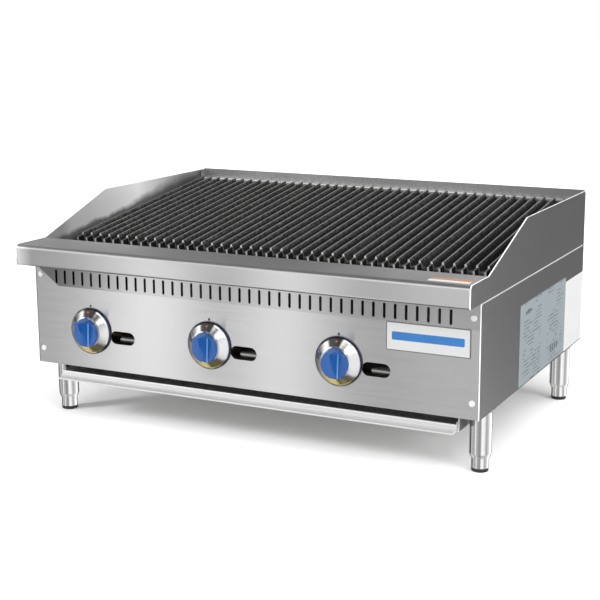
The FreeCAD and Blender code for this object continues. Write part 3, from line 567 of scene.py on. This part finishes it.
def label_paper():
    """Grey-blue data label without words: two columns of short broken rows, a bar and a row of squares."""
    t = Tree(bpy.data.materials.new("label_paper"))
    grain = t.noise(700.0, rough=0.6)
    paper = t.mottle(grain, (0.175, 0.21, 0.225), (0.21, 0.245, 0.262))
    depth = t.math("SUBTRACT", t.axis("Y"), PANEL_FACE)
    height = t.axis("Z")
    row = t.math("FRACT", t.product(height, 1000.0 / 6.8))
    words = t.span(t.noise(190.0, detail=1.0, rough=0.4), 0.0, 1.0, 0.4, 0.46)
    columns = t.math("ADD", t.window(depth, 0.235, 0.345, 0.001), t.window(depth, 0.385, 0.49, 0.001))
    blocks = t.span(t.noise(20.0, (1, 1, 2.4), 1.0, 0.4), 0, 0.9, 0.47, 0.5)
    print_rows = t.product(t.window(row, 0.5, 0.85, 0.05), words, columns, blocks)
    square = t.math("FRACT", t.product(depth, 1000.0 / 14.0))
    squares = t.product(t.window(square, 0.3, 0.8, 0.02), t.window(depth, 0.406, 0.462, 0.001),
                        t.window(height, 0.134, 0.148, 0.001))
    bar = t.product(t.window(depth, 0.245, 0.285, 0.001), t.window(height, 0.244, 0.2475, 0.001))
    inked = t.math("MAXIMUM", print_rows, t.math("MAXIMUM", squares, bar))
    t.drive(
        Base_Color=t.mix(inked, paper, (0.035, 0.045, 0.05)),
        Roughness=t.span(grain, 0.42, 0.52),
        Normal=t.bump(grain, 0.00003, 0.4),
    )
    return t.owner


def add_labels():
    """Two labels on the right side, two fields on the ledge and the stripe of the trim plate."""
    white = speckled("white_film", (0.52, 0.52, 0.53), (0.57, 0.57, 0.57), 0.4, 0.0)
    orange = speckled("orange_ink", (0.3, 0.13, 0.05), (0.42, 0.19, 0.08), 0.45, 0.0)
    blue = speckled("blue_ink", (0.014, 0.11, 0.32), (0.018, 0.14, 0.38), 0.35, 0.0)
    x_axis, y_axis, z_axis = (1, 0, 0), (0, 1, 0), (0, 0, 1)
    for name, depth, height, size, material in (
        ("data_label", 0.3605, 0.1885, (0.295, 0.153), label_paper()),
        ("blank_label", 0.5715, 0.1835, (0.127, 0.143), white),
    ):
        place = (SIDE_FACE + LIFT, PANEL_FACE + depth, height)
        own_object(name, film(place, y_axis, z_axis, size, 0.003), material, "chassis")
    for name, depth, size, material in (
        ("ledge_label_orange", -0.017, (0.073, 0.014), orange),
        ("ledge_label_white", -0.0315, (0.073, 0.013), white),
    ):
        place = (0.4095, PANEL_FACE + depth, LEDGE_TOP + LIFT)
        own_object(name, film(place, x_axis, y_axis, size, 0.001), material, "chassis")
    low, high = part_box("name_plate")
    place = ((low.x + high.x) / 2, low.y - LIFT, (low.z + high.z) / 2 + 0.001)
    own_object("plate_stripe", film(place, x_axis, z_axis, (0.132, 0.0145), 0.002, 0.00025), blue, "chassis")


def add_marks():
    """An index dot on the panel above each knob, and a red mark on its skirt."""
    black = speckled("black_ink", (0.01, 0.01, 0.01), (0.03, 0.03, 0.03), 0.5, 0.0)
    red = speckled("red_enamel", (0.5, 0.05, 0.01), (0.6, 0.08, 0.02), 0.35, 0.0)
    for number in (1, 2, 3):
        low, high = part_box(f"knob_skirt_{number}")
        x, z = (low.x + high.x) / 2, (low.z + high.z) / 2
        own_object(f"index_dot_{number}", dome((x, PANEL_FACE - LIFT, z + 0.0485), (0, -1, 0), 0.0023, 0.0004),
                   black, "chassis")
        on_skirt = (x, PANEL_FACE - 0.0095, z + 0.0375)
        own_object(f"skirt_mark_{number}", dome(on_skirt, (0, -0.82, 0.57), 0.0019, 0.0006),
                   red, f"control_{number}")


# ---- camera, floor and light ----

def set_camera():
    data = bpy.data.cameras.new("camera")
    data.lens = LENS
    data.sensor_width = 36.0
    data.shift_x, data.shift_y = SHIFT
    camera = bpy.data.objects.new("camera", data)
    camera.location = CAMERA_PLACE
    camera.rotation_euler = (CAMERA_TILT, 0.0, CAMERA_TURN)
    bpy.context.scene.collection.objects.link(camera)
    bpy.context.scene.camera = camera


def set_floor():
    mesh = bpy.data.meshes.new("floor")
    half = 40.0
    corners = [(-half, -half, 0), (half, -half, 0), (half, half, 0), (-half, half, 0)]
    mesh.from_pydata(corners, [], [(0, 1, 2, 3)])
    floor = bpy.data.objects.new("floor", mesh)
    t = Tree(bpy.data.materials.new("floor_paint"))
    t.fixed(Roughness=0.9, Specular_IOR_Level=0.1)
    t.drive(Base_Color=t.mix(t.noise(1.5, detail=2.0), (0.86, 0.86, 0.86), (0.88, 0.88, 0.88)))
    mesh.materials.append(t.owner)
    floor.visible_glossy = False
    bpy.context.scene.collection.objects.link(floor)


# Brightness of the studio walls by direction, in degrees from straight ahead of the front panel
WALLS = (
    (-180, 0.4), (-163, 0.8), (-152, 0.2), (-141, 0.3), (-128, 0.7), (-105, 0.05), (-92, 0.08), (-80, 0.8),
    (-60, 0.5), (-44, 0.55), (-38, 0.5), (-36, 0.9), (-33.8, 2.0), (-32.5, 1.5), (-30.8, 0.4), (-29.4, 0.9),
    (-27.8, 2.0), (-26.4, 1.0), (-24.5, 0.3), (-21, 0.75), (-14, 0.6), (0, 0.4), (20, 0.4), (35, 1.4),
    (60, 1.2), (80, 0.5), (110, 0.9), (136, 1.9), (151, 2.0), (157, 0.12), (172, 0.1), (180, 0.4),
)
# Brightness by height, as the sine of the elevation, and the share of the walls in it
HEIGHTS = (
    (-1.0, 0.5, 0.0), (-0.95, 0.15, 0.0), (-0.84, 0.13, 0.1), (-0.76, 0.8, 0.6), (-0.4, 0.8, 1.0),
    (0.45, 0.5, 1.0), (0.6, 0.22, 0.3), (0.68, 0.2, 0.0), (0.76, 1.7, 0.0), (1.0, 1.7, 0.0),
)
# Panels of light and shade: lowest and highest sine of the elevation, colour, then windows of direction,
# each over the turn in degrees or over Y, with its softness
PANELS = (
    (0.12, 0.52, (1.8, 1.8, 1.8), ("turn", -78, -30, 8)),
    (0.12, 0.52, (1.5, 1.5, 1.5), ("turn", -30, -6, 8)),
    (0.35, 0.7, (1.8, 1.8, 1.8), ("turn", 12, 60, 8)),
    (0.05, 0.72, (1.5, 1.5, 1.5), ("turn", 118, 146, 6)),
    (0.05, 0.72, (2.0, 2.0, 2.0), ("turn", 146, 154, 4)),
    (0.64, 1.5, (0.08, 0.08, 0.08), ("y", -1.5, -0.3, 0.08), ("turn", -180, -12, 8)),
    (0.55, 1.5, (0.12, 0.12, 0.12), ("turn", -164, -35, 10)),
    (-0.97, -0.58, (0.85, 0.81, 0.66), ("turn", -125, -76, 10)),
)
PANEL_SOFT = 0.08
PEAK = 2.0                         # the tables' values are divided by this, and the world's strength is this


def set_world():
    """Soft studio around the object: walls and panels of light and shade that the steel mirrors."""
    world = bpy.data.worlds.new("studio")
    bpy.context.scene.world = world
    t = Tree(world)
    coords = t.add("TexCoord")
    split = t.add("SeparateXYZ")
    t.link(coords.outputs["Generated"], split.inputs["Vector"])
    turn = t.math("ARCTAN2", split.outputs["X"], t.product(split.outputs["Y"], -1.0))
    directions = {"turn": t.product(turn, 180.0 / math.pi), "y": split.outputs["Y"]}
    height = split.outputs["Z"]
    walls = t.ramp(directions["turn"], -180.0, 180.0, [(angle, level / PEAK) for angle, level in WALLS])
    levels = t.ramp(height, -1.0, 1.0, [(z, level / PEAK) for z, level, _ in HEIGHTS])
    share = t.ramp(height, -1.0, 1.0, [(z, part) for z, _, part in HEIGHTS])
    room = t.mix(share, levels, walls)
    for low, high, colour, *windows in PANELS:
        inside = t.window(height, low, high, PANEL_SOFT)
        for name, start, end, soft in windows:
            inside = t.product(inside, t.window(directions[name], start, end, soft))
        room = t.mix(inside, room, tuple(c / PEAK for c in colour))
    background = t.tree.nodes["Background"]
    background.inputs["Strength"].default_value = PEAK
    t.link(room, background.inputs["Color"])
    plain = t.add("Background")
    plain.inputs["Color"].default_value = (1.0, 1.0, 1.0, 1.0)
    either = t.add("MixShader")
    t.link(t.add("LightPath").outputs["Is Camera Ray"], either.inputs["Fac"])
    t.link(background.outputs["Background"], either.inputs[1])
    t.link(plain.outputs["Background"], either.inputs[2])
    t.link(either.outputs["Shader"], t.tree.nodes["World Output"].inputs["Surface"])


def soft_sun(name, turn, rise, strength, spread):
    """Even light from one direction, which the mirror-like surfaces don't show as a spot."""
    data = bpy.data.lights.new(name, "SUN")
    data.energy = strength
    data.angle = math.radians(spread)
    light = bpy.data.objects.new(name, data)
    turn, rise = math.radians(turn), math.radians(rise)
    place = Vector((math.sin(turn) * math.cos(rise), -math.cos(turn) * math.cos(rise), math.sin(rise)))
    light.rotation_euler = (-place).to_track_quat("-Z", "Y").to_euler()
    light.location = place * 3.0
    light.visible_glossy = False
    bpy.context.scene.collection.objects.link(light)


def main():
    set_camera()
    set_world()
    soft_sun("key", -42.0, 33.0, 1.6, 14.0)
    soft_sun("top", 20.0, 75.0, 1.6, 90.0)
    soft_sun("fill", 75.0, 22.0, 1.2, 30.0)
    set_floor()
    dress_sheets()
    dress_parts()
    add_labels()
    add_marks()
    bpy.context.scene.view_settings.view_transform = "Standard"


main()
